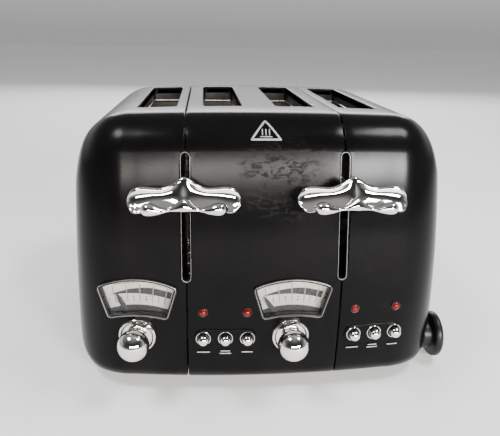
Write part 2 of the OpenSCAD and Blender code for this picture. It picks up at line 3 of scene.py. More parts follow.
import bmesh
import bpy
from mathutils import Matrix, Vector


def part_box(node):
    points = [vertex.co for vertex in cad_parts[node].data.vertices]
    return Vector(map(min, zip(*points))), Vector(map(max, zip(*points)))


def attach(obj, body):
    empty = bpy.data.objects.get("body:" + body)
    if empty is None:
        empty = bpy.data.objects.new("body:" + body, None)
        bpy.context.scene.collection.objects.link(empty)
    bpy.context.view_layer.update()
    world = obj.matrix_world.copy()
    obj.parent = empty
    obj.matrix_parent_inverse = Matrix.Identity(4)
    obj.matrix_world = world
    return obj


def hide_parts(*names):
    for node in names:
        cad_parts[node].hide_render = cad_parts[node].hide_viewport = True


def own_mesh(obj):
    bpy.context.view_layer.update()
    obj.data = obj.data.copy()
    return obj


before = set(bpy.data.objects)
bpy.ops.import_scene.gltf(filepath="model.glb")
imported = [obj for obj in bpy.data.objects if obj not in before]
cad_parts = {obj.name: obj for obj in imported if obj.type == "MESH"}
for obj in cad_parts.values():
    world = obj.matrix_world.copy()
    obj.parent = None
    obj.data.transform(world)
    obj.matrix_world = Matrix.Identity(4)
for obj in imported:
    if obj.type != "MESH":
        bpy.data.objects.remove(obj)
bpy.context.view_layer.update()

# Shapes are worked out in millimetres about the casing's own middle planes, with the front at -Y.
# to_row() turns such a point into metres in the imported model's frame.

# Casing
HALF_W = 142.0
HALF_D = 143.0
HEIGHT = 208.3
GROUND_GAP = 6.0
WALL = 1.6
SEAM_X = 56.5
SEAM_GAP = 0.8
SEAM_EDGE = 1.0
CORNER_PLAN = 45.0
CORNER_TOP = 42.0
CORNER_LOW = 20.0
EDGE_FRONT = 24.0
EDGE_BACK = 42.0
EDGE_LOW = 14.0
CROWN = 0.0006
TOP_CROWN = 0.0002
LEAN = 0.0012
LEAN_Z = 63.0
TAPER = 0.00019
TAPER_Z = 110.0

# Bread slots and lever slots
SLOT_W = 30.0
SLOT_FRONT = -67.0
SLOT_BACK = 84.0
SLOT_X = (-79.6, -28.5, 28.5, 79.6)
SLOT_CORNER = 4.0
LINER_T = 1.2
LINER_LOW = 194.0
LEVER_SLOT_LOW = 95.9
LEVER_SLOT_HIGH = 180.5
LEVER_SLOT_R = 3.1
LEVER_HOLE_R = 4.3

# Controls
UNIT_SEAM = (-SEAM_X, SEAM_X)
GAUGE_OFFSET = 35.8
GAUGE_Z = 78.0
GAUGE_TILT = -2.06
GAUGE_SET = 0.27
KNOB_OFFSET = 36.7
KNOB_Z = 49.2
KNOB_R = 11.5
KNOB_OUT = 14.0
POINTER_REST = (27.0, 34.0)
BUTTON_OFFSET = 28.0
BUTTON_PITCH = 16.3
BUTTON_Z = 47.8
BUTTON_R = 4.3
BUTTON_HOLE_R = 5.2
KNOB_HOLE_R = 5.0
LAMP_HOLE_R = 3.0
BUTTON_NAMES = ("defrost", "cancel", "reheat")
LAMP_X = (11.7, 43.8)
LAMP_Z = 68.7
DIAL_CARD = (7.2, 8.2)
DIAL_AXIS = (0.4, -95.0)
DIAL_PITCH = 9.6 / 97.0
LEVER_Y = -149.0
LEVER_Z = 159.0
SIDES = ("left", "right")

# Base
FOOT_X = 108.0
FOOT_Y = (-105.0, 108.0)
DISC_Y = -98.0
DISC_Z = 20.3
DISC_HOLE_R = 12.2
GLAND_Z = 33.0
TRAY_HOLE_X = (7.0, 109.0)
TRAY_HOLE_Z = (11.0, 24.5)

# Lift springs
ROD_Y = -92.0
SPRING_LOW = 10.0
SPRING_HIGH = 108.0
COIL_R = 4.1
COIL_WIRE_R = 0.6

# Camera, in metres and degrees
CAMERA_AT = (-0.0487, -0.4796, 0.2633)
CAMERA_TURN = -4.45
CAMERA_DOWN = 18.6
CAMERA_ROLL = 1.0

mid_x = (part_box("shell_left")[0].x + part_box("shell_right")[1].x) * 500
mid_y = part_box("shell_centre_rear")[1].y * 1000 - HALF_D


def to_row(p):
    return ((p[0] + mid_x) / 1000, (p[1] + mid_y) / 1000, p[2] / 1000)


SCUFF_PLACE = to_row((12.0, -138.0, 171.0))

# ---------------------------------------------------------------- materials


class Finish:
    """A Principled material, with short ways to add texture nodes. Texture scales are per metre."""

    def __init__(self, name, sockets):
        self.material = bpy.data.materials.new(name)
        self.material.use_nodes = True
        self.nodes = self.material.node_tree.nodes
        self.links = self.material.node_tree.links
        self.shader = self.nodes["Principled BSDF"]
        for socket, value in sockets.items():
            self.shader.inputs[socket].default_value = value
        self.place = self.nodes.new("ShaderNodeTexCoord").outputs["Object"]

    def stretched(self, x, y, z):
        node = self.nodes.new("ShaderNodeMapping")
        node.inputs["Scale"].default_value = (x, y, z)
        self.links.new(self.place, node.inputs["Vector"])
        return node.outputs["Vector"]

    def noise(self, scale, detail=4.0, rough=0.55, place=None, warp=0.0):
        node = self.nodes.new("ShaderNodeTexNoise")
        node.inputs["Scale"].default_value = scale
        node.inputs["Detail"].default_value = detail
        node.inputs["Roughness"].default_value = rough
        node.inputs["Distortion"].default_value = warp
        self.links.new(place or self.place, node.inputs["Vector"])
        return node.outputs["Fac"]

    def cells(self, scale, feature="F1", place=None):
        node = self.nodes.new("ShaderNodeTexVoronoi")
        node.feature = feature
        node.inputs["Scale"].default_value = scale
        self.links.new(place or self.place, node.inputs["Vector"])
        return node.outputs["Distance"]

    def far_from(self, place):
        """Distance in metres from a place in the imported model's frame."""
        node = self.nodes.new("ShaderNodeVectorMath")
        node.operation = "DISTANCE"
        node.inputs[1].default_value = place
        self.links.new(self.place, node.inputs[0])
        return node.outputs["Value"]

    def ramp(self, fac, stops):
        """A colour ramp. Each stop is a place from 0 to 1, and a grey or a colour."""
        node = self.nodes.new("ShaderNodeValToRGB")
        elements = node.color_ramp.elements
        while len(elements) < len(stops):
            elements.new(0.5)
        for element, (place, value) in zip(elements, stops):
            element.position = place
            element.color = (*value, 1.0) if isinstance(value, tuple) else (value, value, value, 1.0)
        self.links.new(fac, node.inputs["Fac"])
        return node.outputs["Color"]

    def math(self, operation, a, b):
        node = self.nodes.new("ShaderNodeMath")
        node.operation = operation
        for socket, value in zip(node.inputs, (a, b)):
            if isinstance(value, (int, float)):
                socket.default_value = value
            else:
                self.links.new(value, socket)
        return node.outputs["Value"]

    def mix(self, fac, a, b):
        """Colour a where fac is 0, and b where it is 1."""
        node = self.nodes.new("ShaderNodeMix")
        node.data_type = "RGBA"
        self.links.new(fac, node.inputs["Factor"])
        for socket, value in ((node.inputs["A"], a), (node.inputs["B"], b)):
            if isinstance(value, tuple):
                socket.default_value = (*value, 1.0)
            else:
                self.links.new(value, socket)
        return node.outputs["Result"]

    def colour(self, output):
        self.links.new(output, self.shader.inputs["Base Color"])

    def rough(self, output):
        self.links.new(output, self.shader.inputs["Roughness"])

    def bump(self, height, strength, distance):
        """Raises the surface by height times distance, in metres. A second call adds to the first."""
        node = self.nodes.new("ShaderNodeBump")
        node.inputs["Strength"].default_value = strength
        node.inputs["Distance"].default_value = distance
        self.links.new(height, node.inputs["Height"])
        normal = self.shader.inputs["Normal"]
        if normal.is_linked:
            self.links.new(normal.links[0].from_socket, node.inputs["Normal"])
        self.links.new(node.outputs["Normal"], normal)


def satin_black():
    """Baked black coating on sheet steel: fine orange peel, hand smudges, a scuffed patch and dust."""
    f = Finish("satin_black", {"Specular IOR Level": 0.09})
    smudge = f.noise(13, 6, 0.62, warp=0.4)
    streak = f.ramp(f.noise(130, 8, 0.74, f.stretched(1.0, 1.0, 2.2), 0.8), [(0.49, 0.0), (0.58, 1.0)])
    near_badge = f.ramp(f.far_from(SCUFF_PLACE), [(0.014, 1.0), (0.040, 0.0)])
    scuffed = f.math("MULTIPLY", streak, near_badge)
    marks = f.math("MULTIPLY", streak, f.ramp(f.noise(8.5, 3, 0.5), [(0.62, 0.0), (0.74, 0.4)]))
    worn = f.math("MAXIMUM", scuffed, marks)
    dust = f.ramp(f.cells(420), [(0.0, 1.0), (0.07, 0.0)])
    dusty = f.math("MULTIPLY", dust, f.ramp(f.noise(30, 3), [(0.52, 0.0), (0.7, 0.5)]))
    coat = f.ramp(f.noise(24, 5), [(0.3, (0.0020, 0.0018, 0.0020)), (0.7, (0.0034, 0.0031, 0.0031))])
    f.colour(f.mix(dusty, f.mix(marks, coat, (0.012, 0.0115, 0.011)), (0.13, 0.125, 0.12)))
    even = f.ramp(smudge, [(0.3, 0.17), (0.55, 0.20), (0.8, 0.29)])
    f.rough(f.math("ADD", even, f.math("MULTIPLY", worn, 0.34)))
    f.bump(f.noise(1100, 2, 0.5), 0.10, 0.0001)
    f.bump(f.noise(5200, 2, 0.6), 0.06, 0.00004)
    return f.material


def black_plastic(name, rough_low, rough_high, peel):
    f = Finish(name, {"Specular IOR Level": 0.3})
    f.colour(f.ramp(f.noise(60, 5), [(0.35, (0.004, 0.004, 0.0043)), (0.7, (0.008, 0.0077, 0.0077))]))
    f.rough(f.ramp(f.noise(85, 6, 0.65), [(0.35, rough_low), (0.7, rough_high)]))
    f.bump(f.noise(2600, 2, 0.6), peel, 0.00006)
    return f.material


def chrome():
    """Bright nickel-chrome plating over a casting, with breath marks and very slight waves."""
    f = Finish("chrome", {"Metallic": 1.0})
    f.colour(f.ramp(f.noise(35, 5), [(0.3, (0.80, 0.785, 0.755)), (0.7, (0.90, 0.885, 0.855))]))
    wipe = f.noise(120, 7, 0.66, f.stretched(1.0, 1.0, 0.35), 0.5)
    f.rough(f.ramp(wipe, [(0.38, 0.028), (0.6, 0.065), (0.78, 0.17)]))
    f.bump(f.noise(140, 2, 0.4), 0.05, 0.0002)
    return f.material


def printed_silver():
    f = Finish("printed_silver", {"Metallic": 0.55})
    f.colour(f.ramp(f.noise(700, 3), [(0.3, (0.36, 0.36, 0.355)), (0.7, (0.50, 0.50, 0.49))]))
    f.rough(f.ramp(f.noise(300, 4), [(0.3, 0.32), (0.7, 0.5)]))
    f.bump(f.noise(4000, 2), 0.08, 0.00003)
    return f.material


def sheet_steel(name, low, high, rough):
    """Coated sheet between two tones: rolled grain along Y, stains and spangle."""
    f = Finish(name, {"Metallic": 0.92})
    stain = f.noise(16, 5, 0.6)
    spangle = f.cells(160)
    tone = f.math("ADD", f.math("MULTIPLY", spangle, 0.3), stain)
    f.colour(f.ramp(tone, [(0.35, low), (0.85, high)]))
    grain = f.noise(260, 6, 0.7, f.stretched(1.0, 0.04, 1.0))
    f.rough(f.ramp(grain, [(0.35, rough), (0.7, rough + 0.16)]))
    f.bump(grain, 0.12, 0.00006)
    return f.material


def steel_wire():
    f = Finish("steel_wire", {"Metallic": 1.0})
    f.colour(f.ramp(f.noise(120, 5), [(0.35, (0.36, 0.33, 0.29)), (0.65, (0.62, 0.59, 0.54))]))
    f.rough(f.ramp(f.noise(420, 5), [(0.35, 0.2), (0.7, 0.42)]))
    f.bump(f.noise(900, 4), 0.15, 0.00006)
    return f.material


def mica():
    """Pressed mica card: golden flakes in layers, with darker patches at random; the real card darkens where
    the ribbon has heated it.
    """
    f = Finish("mica", {"Specular IOR Level": 0.6, "Coat Weight": 0.25, "Coat Roughness": 0.25})
    flake = f.cells(240, place=f.stretched(1.0, 1.0, 1.6))
    shade = f.math("ADD", f.math("MULTIPLY", flake, 0.5), f.noise(30, 6, 0.65))
    tones = [(0.35, (0.20, 0.13, 0.06)), (0.6, (0.46, 0.35, 0.2)), (0.9, (0.66, 0.56, 0.38))]
    f.colour(f.ramp(shade, tones))
    f.rough(f.ramp(f.noise(160, 4), [(0.3, 0.3), (0.7, 0.55)]))
    f.bump(flake, 0.2, 0.0001)
    return f.material


def heater_ribbon():
    f = Finish("heater_ribbon", {"Metallic": 0.85})
    f.colour(f.ramp(f.noise(260, 5), [(0.3, (0.10, 0.085, 0.08)), (0.7, (0.26, 0.22, 0.2))]))
    f.rough(f.ramp(f.noise(700, 4), [(0.3, 0.38), (0.7, 0.6)]))
    f.bump(f.noise(2400, 3), 0.2, 0.00004)
    return f.material


def rubber():
    f = Finish("rubber", {"Specular IOR Level": 0.3})
    f.colour(f.ramp(f.noise(140, 5), [(0.3, (0.012, 0.012, 0.012)), (0.75, (0.032, 0.031, 0.03))]))
    f.rough(f.ramp(f.noise(260, 5), [(0.3, 0.62), (0.7, 0.85)]))
    f.bump(f.noise(1900, 4), 0.25, 0.0001)
    return f.material


def dial_paper():
    """Off-white printed card behind the glass, a little yellowed and dusty."""
    f = Finish("dial_paper", {"Specular IOR Level": 0.25})
    f.colour(f.ramp(f.noise(70, 6, 0.6), [(0.3, (0.48, 0.46, 0.42)), (0.7, (0.63, 0.61, 0.57))]))
    f.rough(f.ramp(f.noise(900, 3), [(0.3, 0.55), (0.7, 0.75)]))
    f.bump(f.noise(5000, 3), 0.1, 0.00003)
    return f.material


def dial_ink(name, low, high):
    f = Finish(name, {"Specular IOR Level": 0.3})
    f.colour(f.ramp(f.noise(320, 5), [(0.3, low), (0.7, high)]))
    f.rough(f.ramp(f.noise(900, 3), [(0.3, 0.5), (0.7, 0.7)]))
    return f.material


def lens_glass():
    """Thin clear plastic: nearly all light passes, and the rest is a clean reflection."""
    f = Finish("lens_glass", {
        "Alpha": 0.05, "Specular IOR Level": 0.9, "Base Color": (0.03, 0.03, 0.03, 1.0),
    })
    f.rough(f.ramp(f.noise(90, 6, 0.65), [(0.4, 0.04), (0.75, 0.16)]))
    f.bump(f.noise(40, 2), 0.04, 0.0002)
    return f.material


def lamp_red():
    """Clear red plastic dome with a faint painted glow: a small emission stands in for light falling on it
    and passing through.
    """
    # The emission below is a painted glow, not a lit lamp.
    f = Finish("lamp_red", {
        "Coat Weight": 0.3, "Coat Roughness": 0.05, "Emission Color": (1.0, 0.0, 0.0, 1.0),
        "Emission Strength": 0.14, "Specular IOR Level": 0.2,
    })
    f.colour(f.ramp(f.noise(500, 3), [(0.3, (0.05, 0.0002, 0.0002)), (0.7, (0.10, 0.0005, 0.0004))]))
    f.rough(f.ramp(f.noise(700, 3), [(0.3, 0.14), (0.7, 0.26)]))
    f.bump(f.cells(900), 0.12, 0.0001)
    return f.material


def circuit_green():
    f = Finish("circuit_green", {"Coat Weight": 0.4, "Coat Roughness": 0.2})
    f.colour(f.ramp(f.cells(260), [(0.2, (0.010, 0.030, 0.012)), (0.6, (0.02, 0.055, 0.02))]))
    f.rough(f.ramp(f.noise(300, 3), [(0.3, 0.35), (0.7, 0.55)]))
    f.bump(f.cells(420), 0.25, 0.0001)
    return f.material


def copper_coil():
    f = Finish("copper_coil", {"Metallic": 0.8})
    turns = f.noise(900, 1, 0.3, f.stretched(0.05, 0.05, 1.0))
    # The same windings mask darkens the colour in the grooves between turns: painted shade in the grooves.
    f.colour(f.ramp(turns, [(0.35, (0.24, 0.09, 0.04)), (0.65, (0.55, 0.27, 0.13))]))
    f.rough(f.ramp(turns, [(0.3, 0.25), (0.7, 0.45)]))
    f.bump(turns, 0.6, 0.0002)
    return f.material


def worktop_floor():
    lift = {"Emission Color": (1.0, 1.0, 1.0, 1.0), "Emission Strength": 0.16}
    f = Finish("pale_floor", {"Specular IOR Level": 0.2, **lift})
    f.colour(f.ramp(f.noise(3, 5), [(0.3, (0.80, 0.80, 0.795)), (0.7, (0.84, 0.84, 0.835))]))
    f.rough(f.ramp(f.noise(30, 3), [(0.3, 0.6), (0.7, 0.75)]))
    return f.material


SATIN = satin_black()
PLASTIC = black_plastic("moulded_black", 0.30, 0.48, 0.10)
BEZEL = black_plastic("bezel_black", 0.16, 0.30, 0.05)
CHROME = chrome()
SILVER = printed_silver()
INNER = sheet_steel("heat_stained_steel", (0.025, 0.023, 0.021), (0.10, 0.092, 0.084), 0.36)
SHEET = sheet_steel("sheet_steel", (0.22, 0.21, 0.2), (0.52, 0.5, 0.47), 0.3)
LINER = sheet_steel("liner_steel", (0.010, 0.010, 0.010), (0.035, 0.034, 0.033), 0.42)
TRAY = sheet_steel("tray_aluminium", (0.36, 0.36, 0.355), (0.6, 0.6, 0.59), 0.34)
WIRE = steel_wire()
MICA = mica()
RIBBON = heater_ribbon()
RUBBER = rubber()
PAPER = dial_paper()
INK = dial_ink("dial_ink", (0.03, 0.031, 0.033), (0.05, 0.052, 0.054))
TICK_INK = dial_ink("tick_ink", (0.20, 0.20, 0.195), (0.27, 0.27, 0.265))
GLASS = lens_glass()
RED = lamp_red()
CIRCUIT = circuit_green()
COPPER = copper_coil()

# ---------------------------------------------------------------- mesh tools


def make_object(name, points, faces):
    mesh = bpy.data.meshes.new(name)
    mesh.from_pydata([to_row(p) for p in points], [], faces)
    work = bmesh.new()
    work.from_mesh(mesh)
    bmesh.ops.recalc_face_normals(work, faces=work.faces)
    work.to_mesh(mesh)
    work.free()
    made = bpy.data.objects.new(name, mesh)
    bpy.context.scene.collection.objects.link(made)
    return made


def finish_piece(made, material, body, stands_for=(), angle=32.0):
    """Shades a piece, keeps edges over the angle sharp, and ties it to its body and finish."""
    made.data.materials.clear()
    made.data.materials.append(material)
    made.data.shade_smooth()
    made.data.set_sharp_from_angle(angle=math.radians(angle))
    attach(made, body)
    if stands_for:
        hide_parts(*stands_for)
    return made


def joined(solids):
    """One list of points and one of faces from several solids."""
    points = []
    faces = []
    for more_points, more_faces in solids:
        start = len(points)
        points += more_points
        faces += [[start + i for i in face] for face in more_faces]
    return points, faces


def piece(name, solids, material, body, stands_for=(), angle=32.0):
    return finish_piece(make_object(name, *joined(solids)), material, body, stands_for, angle)


def rings_solid(rings):
    """A closed solid through rings of equally many points, capped at both ends."""
    n = len(rings[0])
    points = [p for ring in rings for p in ring]
    faces = [list(range(n)), [(len(rings) - 1) * n + j for j in range(n)]]
    for i in range(len(rings) - 1):
        for j in range(n):
            k = (j + 1) % n
            faces.append([i * n + j, i * n + k, (i + 1) * n + k, (i + 1) * n + j])
    return points, faces


def loop_solid(rings):
    """A solid whose rings follow one another round a closed loop."""
    n = len(rings[0])
    points = [p for ring in rings for p in ring]
    faces = []
    for i in range(len(rings)):
        after = (i + 1) % len(rings)
        for j in range(n):
            k = (j + 1) % n
            faces.append([i * n + j, i * n + k, after * n + k, after * n + j])
    return points, faces


def counter_clockwise(outline):
    area = sum(a[0] * b[1] - b[0] * a[1] for a, b in zip(outline, outline[1:] + outline[:1]))
    return outline if area > 0 else outline[::-1]


def grown(outline, by):
    """The outline with every point moved out along its normal."""
    ring = counter_clockwise(outline)
    moved = []
    for before, here, after in zip(ring[-1:] + ring[:-1], ring, ring[1:] + ring[:1]):
        along = Vector((after[0] - before[0], after[1] - before[1])).normalized()
        moved.append((here[0] + along.y * by, here[1] - along.x * by))
    return moved


def band(outline, profile, place):
    """Carries a closed profile of (out, deep) points round an outline. place(a, b, deep) gives the point."""
    lines = [[place(a, b, deep) for a, b in grown(outline, out)] for out, deep in profile]
    return loop_solid([list(ring) for ring in zip(*lines)])


def prism(outline, near, far, place, edge=0.0):
    """An outline made solid from depth near to depth far, with its near edge rounded off by edge."""
    ring = counter_clockwise(outline)
    turns = (0, 0.5, 1.0, math.pi / 2)
    layers = [(-edge * (1 - math.sin(t)), near + edge * (1 - math.cos(t))) for t in turns]
    layers = layers if edge else [(0.0, near)]
    rings = [[place(a, b, deep) for a, b in grown(ring, out)] for out, deep in layers]
    rings.append([place(a, b, far) for a, b in ring])
    return rings_solid(rings)


def turned(profile, matrix, steps=72, closed=False):
    """Turns (radius, out) points about a frame's local -Y axis. A closed profile makes a ring."""
    lines = []
    for i in range(steps):
        angle = math.tau * i / steps
        line = [(r * math.cos(angle), -out, r * math.sin(angle)) for r, out in profile]
        lines.append([matrix @ Vector(p) for p in line])
    if closed:
        return loop_solid(lines)
    return rings_solid([list(ring) for ring in zip(*lines)])


def arc(cx, cy, r, start, end, steps):
    angles = [math.radians(start + (end - start) * i / steps) for i in range(steps + 1)]
    return [(cx + r * math.cos(a), cy + r * math.sin(a)) for a in angles]


def through(stops, at):
    """Smooth curve through (place, value) stops."""
    at = min(max(at, stops[0][0]), stops[-1][0])
    i = max(k for k in range(len(stops) - 1) if stops[k][0] <= at)
    (x0, y0), (x1, y1) = stops[i], stops[i + 1]
    before = stops[max(i - 1, 0)]
    after = stops[min(i + 2, len(stops) - 1)]
    slope0 = (y1 - before[1]) / (x1 - before[0])
    slope1 = (after[1] - y0) / (after[0] - x0)
    t = (at - x0) / (x1 - x0)
    span = x1 - x0
    h00 = 2 * t**3 - 3 * t**2 + 1
    h10 = t**3 - 2 * t**2 + t
    return h00 * y0 + h10 * span * slope0 + (1 - h00) * y1 + (t**3 - t**2) * span * slope1


def closed_spline(controls, samples):
    """Points of a closed cubic B-spline, with so many samples between neighbouring controls."""
    n = len(controls)
    found = []
    for i in range(n):
        p = [Vector(controls[(i + k) % n]) for k in range(4)]
        for s in range(samples):
            t = s / samples
            w = ((1 - t) ** 3, 3 * t**3 - 6 * t**2 + 4, -3 * t**3 + 3 * t**2 + 3 * t + 1, t**3)
            found.append(sum((q * a for q, a in zip(p, w)), Vector((0, 0))) / 6)
    return found


def apply_modifiers(made):
    graph = bpy.context.evaluated_depsgraph_get()
    graph.update()
    mesh = bpy.data.meshes.new_from_object(made.evaluated_get(graph))
    made.modifiers.clear()
    made.data = mesh


def cut(made, solids):
    """Takes closed solids away from an object."""
    cutter = make_object("cutter", *joined(solids))
    modifier = made.modifiers.new("cut", "BOOLEAN")
    modifier.operation = "DIFFERENCE"
    modifier.solver = "EXACT"
    modifier.object = cutter
    apply_modifiers(made)
    bpy.data.objects.remove(cutter)


# ---------------------------------------------------------------- the casing's surface


def drawn_in(x, r, w):
    """How far a side rounding of radius r has drawn in at x, on a skin w inside the outer one."""
    t = min(1.0, max(0.0, (abs(x) - (HALF_W - r)) / (r - w)))
    return (r - w) * (1 - math.sqrt(1 - t * t))


def front_y(x):
    return -HALF_D + CROWN * min(abs(x), HALF_W - CORNER_PLAN) ** 2


def section(x, w):
    """The casing's closed section at x, as (y, z) points, on a skin w inside the outer one."""
    yf = front_y(x) + w + drawn_in(x, CORNER_PLAN, w)
    yb = HALF_D - CROWN * x * x - w - drawn_in(x, CORNER_PLAN, w)
    zt = HEIGHT - TOP_CROWN * x * x - w - drawn_in(x, CORNER_TOP, w)
    zb = GROUND_GAP + w + drawn_in(x, CORNER_LOW, w)
    rf = EDGE_FRONT - w
    rb = EDGE_BACK - w
    rl = EDGE_LOW - w
    front = arc(yf + rl, zb + rl, rl, 270, 180, 10)
    front += [(yf, zb + rl + (zt - rf - zb - rl) * i / 15) for i in range(1, 15)]
    front += arc(yf + rf, zt - rf, rf, 180, 90, 18)
    front = [(y + LEAN * (z - LEAN_Z) ** 2, z) for y, z in front]
    start = front[-1][0]
    end = yb - rb
    top = [(start + (end - start) * i / 8, zt) for i in range(1, 8)]
    back = arc(end, zt - rb, rb, 90, 0, 18)
    low = zb + rl
    back += [(yb, zt - rb + (low - zt + rb) * i / 6) for i in range(1, 6)]
    back += arc(yb - rl, low, rl, 0, -90, 10)
    floor = [(yb - rl + (yf + rl + LEAN * (zb - LEAN_Z) ** 2 - yb + rl) * i / 5, zb) for i in range(1, 5)]
    return front + top + back + floor


def ring_at(x, w):
    return [(x * (1 - TAPER * (z - TAPER_Z) * (x / HALF_W) ** 2), y, z) for y, z in section(x, w)]


def seam_rings(start, toward):
    """Rings that round a shell's edge off at a seam. toward is 1 or -1, the way into the shell."""
    rings = []
    for i in range(5):
        a = math.radians(22.5 * i)
        rings.append(ring_at(start + toward * SEAM_EDGE * (1 - math.cos(a)), SEAM_EDGE * (1 - math.sin(a))))
    return rings


def side_rings(w, start):
    corner = HALF_W - CORNER_PLAN
    rings = [ring_at(start + (corner - start) * i / 6, w) for i in range(1, 6)]
    rings += [ring_at(corner + (CORNER_PLAN - w) * math.sin(math.radians(3.75 * i)), w) for i in range(25)]
    return rings


def panel(x, z):
    """The front's tangent plane at x, lifted to z: local -Y points straight out."""
    turn = Matrix.Rotation(math.atan(2 * CROWN * x), 4, "Z")
    return Matrix.Translation((x, front_y(x), 0)) @ turn @ Matrix.Translation((0, 0, z))


def gauge_plane(i):
    x = UNIT_SEAM[i] - GAUGE_OFFSET
    tilt = Matrix.Rotation(math.radians(GAUGE_TILT), 4, "X")
    return panel(x, GAUGE_Z) @ Matrix.Translation((0, GAUGE_SET, 0)) @ tilt


def knob_plane(i):
    return panel(UNIT_SEAM[i] - KNOB_OFFSET, KNOB_Z)


def button_plane(i, k=0):
    return panel(UNIT_SEAM[i] + BUTTON_OFFSET, BUTTON_Z) @ Matrix.Translation((k * BUTTON_PITCH, 0, 0))


def on_plane(matrix):
    """Places (across, up, deep) in a frame whose local -Y points out."""
    return lambda a, b, deep: matrix @ Vector((a, deep, b))


def top_z(x):
    return HEIGHT - TOP_CROWN * x * x


def on_top(a, b, deep):
    return (a, b, top_z(a) - deep)


def shallow(x, half, side, middle):
    return side + (middle - side) * (1 - (x / half) ** 2)


def soft_corner(before, corner, after, cut_back, steps=6):
    b, c, a = Vector(before), Vector(corner), Vector(after)
    start = c + (b - c).normalized() * cut_back
    end = c + (a - c).normalized() * cut_back
    points = []
    for i in range(steps + 1):
        t = i / steps
        points.append(tuple(start * (1 - t) ** 2 + c * 2 * t * (1 - t) + end * t * t))
    return points


def fan(grow):
    """The gauge window's outline about the gauge's middle, grown by so much."""
    top_half = 28.3 + grow * 1.2
    low_half = 21.2 + grow
    top_side = 9.5 + grow
    top_mid = 15.7 + grow
    low_side = -14.1 - grow
    low_mid = -11.8 - grow
    top_xs = [top_half * i / 12 for i in range(-10, 11)]
    low_xs = [low_half * i / 8 for i in range(6, -7, -1)]
    top = [(x, shallow(x, top_half, top_side, top_mid)) for x in top_xs]
    low = [(x, shallow(x, low_half, low_side, low_mid)) for x in low_xs]
    tr, tl = (top_half, top_side), (-top_half, top_side)
    lr, ll = (low_half, low_side), (-low_half, low_side)
    return (
        top + soft_corner(top[-1], tr, lr, 2.4) + soft_corner(tr, lr, low[0], 2.4)
        + low + soft_corner(low[-1], ll, tl, 2.4) + soft_corner(ll, tl, top[0], 2.4)
    )


def round_rect(width, height, r, steps=8):
    points = []
    for q, (sx, sy) in enumerate(((1, 1), (-1, 1), (-1, -1), (1, -1))):
        points += arc(sx * (width / 2 - r), sy * (height / 2 - r), r, 90 * q, 90 * q + 90, steps)
    return points


def slot_outline(x):
    middle = (SLOT_FRONT + SLOT_BACK) / 2
    return [(x + a, middle + b) for a, b in round_rect(SLOT_W, SLOT_BACK - SLOT_FRONT, SLOT_CORNER)]


def lever_slot_outline(x, r):
    high = arc(x, LEVER_SLOT_HIGH, r, 0, 180, 12)
    low = arc(x, LEVER_SLOT_LOW, r, 180, 360, 12)
    return high + low


def pill(half, r, steps=10):
    return arc(half, 0, r, -90, 90, steps) + arc(-half, 0, r, 90, 270, steps)


def circle(r, steps=40):
    return arc(0, 0, r, 0, 360 * (steps - 1) / steps, steps - 1)


# ---------------------------------------------------------------- casing pieces


def box_solid(low, high):
    xs, ys, zs = zip(low, high)
    outline = [(xs[0], ys[0]), (xs[1], ys[0]), (xs[1], ys[1]), (xs[0], ys[1])]
    return rings_solid([[(x, y, z) for x, y in outline] for z in zs])


def front_holes(i):
    """Cutters for one unit's window, knob, buttons and lamps."""
    outlines = [(fan(0.1), gauge_plane(i)), (circle(KNOB_HOLE_R), knob_plane(i))]
    outlines += [(circle(BUTTON_HOLE_R), button_plane(i, k)) for k in (-1, 0, 1)]
    outlines += [(circle(LAMP_HOLE_R), panel(UNIT_SEAM[i] + x, LAMP_Z)) for x in LAMP_X]
    return [prism(outline, -20, 12, on_plane(plane)) for outline, plane in outlines]


def slot_holes(xs):
    return [prism(grown(slot_outline(x), 1.0), -30, 14, on_top) for x in xs]


def lever_hole(x):
    outline = lever_slot_outline(x, LEVER_HOLE_R)
    return prism(outline, -HALF_D - 12, -HALF_D + 50, lambda a, b, deep: (a, deep, b))


def tray_holes():
    """Cutters for the two crumb tray openings at the rear."""
    holes = []
    for sign in (-1, 1):
        left, right = sorted(sign * x for x in TRAY_HOLE_X)
        low, high = TRAY_HOLE_Z
        holes.append(box_solid((left, HALF_D - 30, low), (right, HALF_D + 10, high)))
    return holes


def base_hole():
    outline = [(x, y + 2) for x, y in round_rect(192, 190, 10)]
    return rings_solid([[(x, y, z) for x, y in outline] for z in (-1, 8.6)])


def disc_plane():
    return Matrix.Translation((0, DISC_Y, DISC_Z)) @ Matrix.Rotation(math.radians(90), 4, "Z")


def side_shell(side):
    """One side shell, cut from a solid. side is 0 on the left and 1 on the right."""
    start = SEAM_X + SEAM_GAP / 2
    sign = (-1, 1)[side]

    def mirrored(rings):
        return [[(sign * x, y, z) for x, y, z in ring] for ring in rings]

    outer = rings_solid(mirrored(seam_rings(start, 1) + side_rings(0, start + SEAM_EDGE)))
    inner = rings_solid(mirrored([ring_at(start - 4, WALL)] + side_rings(WALL, start - 4)))
    name = "shell_" + SIDES[side]
    made = make_object(name + "_skin", *outer)
    holes = front_holes(0)[:2] if side == 0 else front_holes(1)[2:]
    holes += slot_holes([SLOT_X[3 * side]])
    cut(made, [inner])
    cut(made, holes + [lever_hole(UNIT_SEAM[side]), base_hole(), tray_holes()[side]])
    if side == 1:
        cut(made, [prism(circle(DISC_HOLE_R), -160, -120, on_plane(disc_plane()))])
    return finish_piece(made, SATIN, "casing", [name])


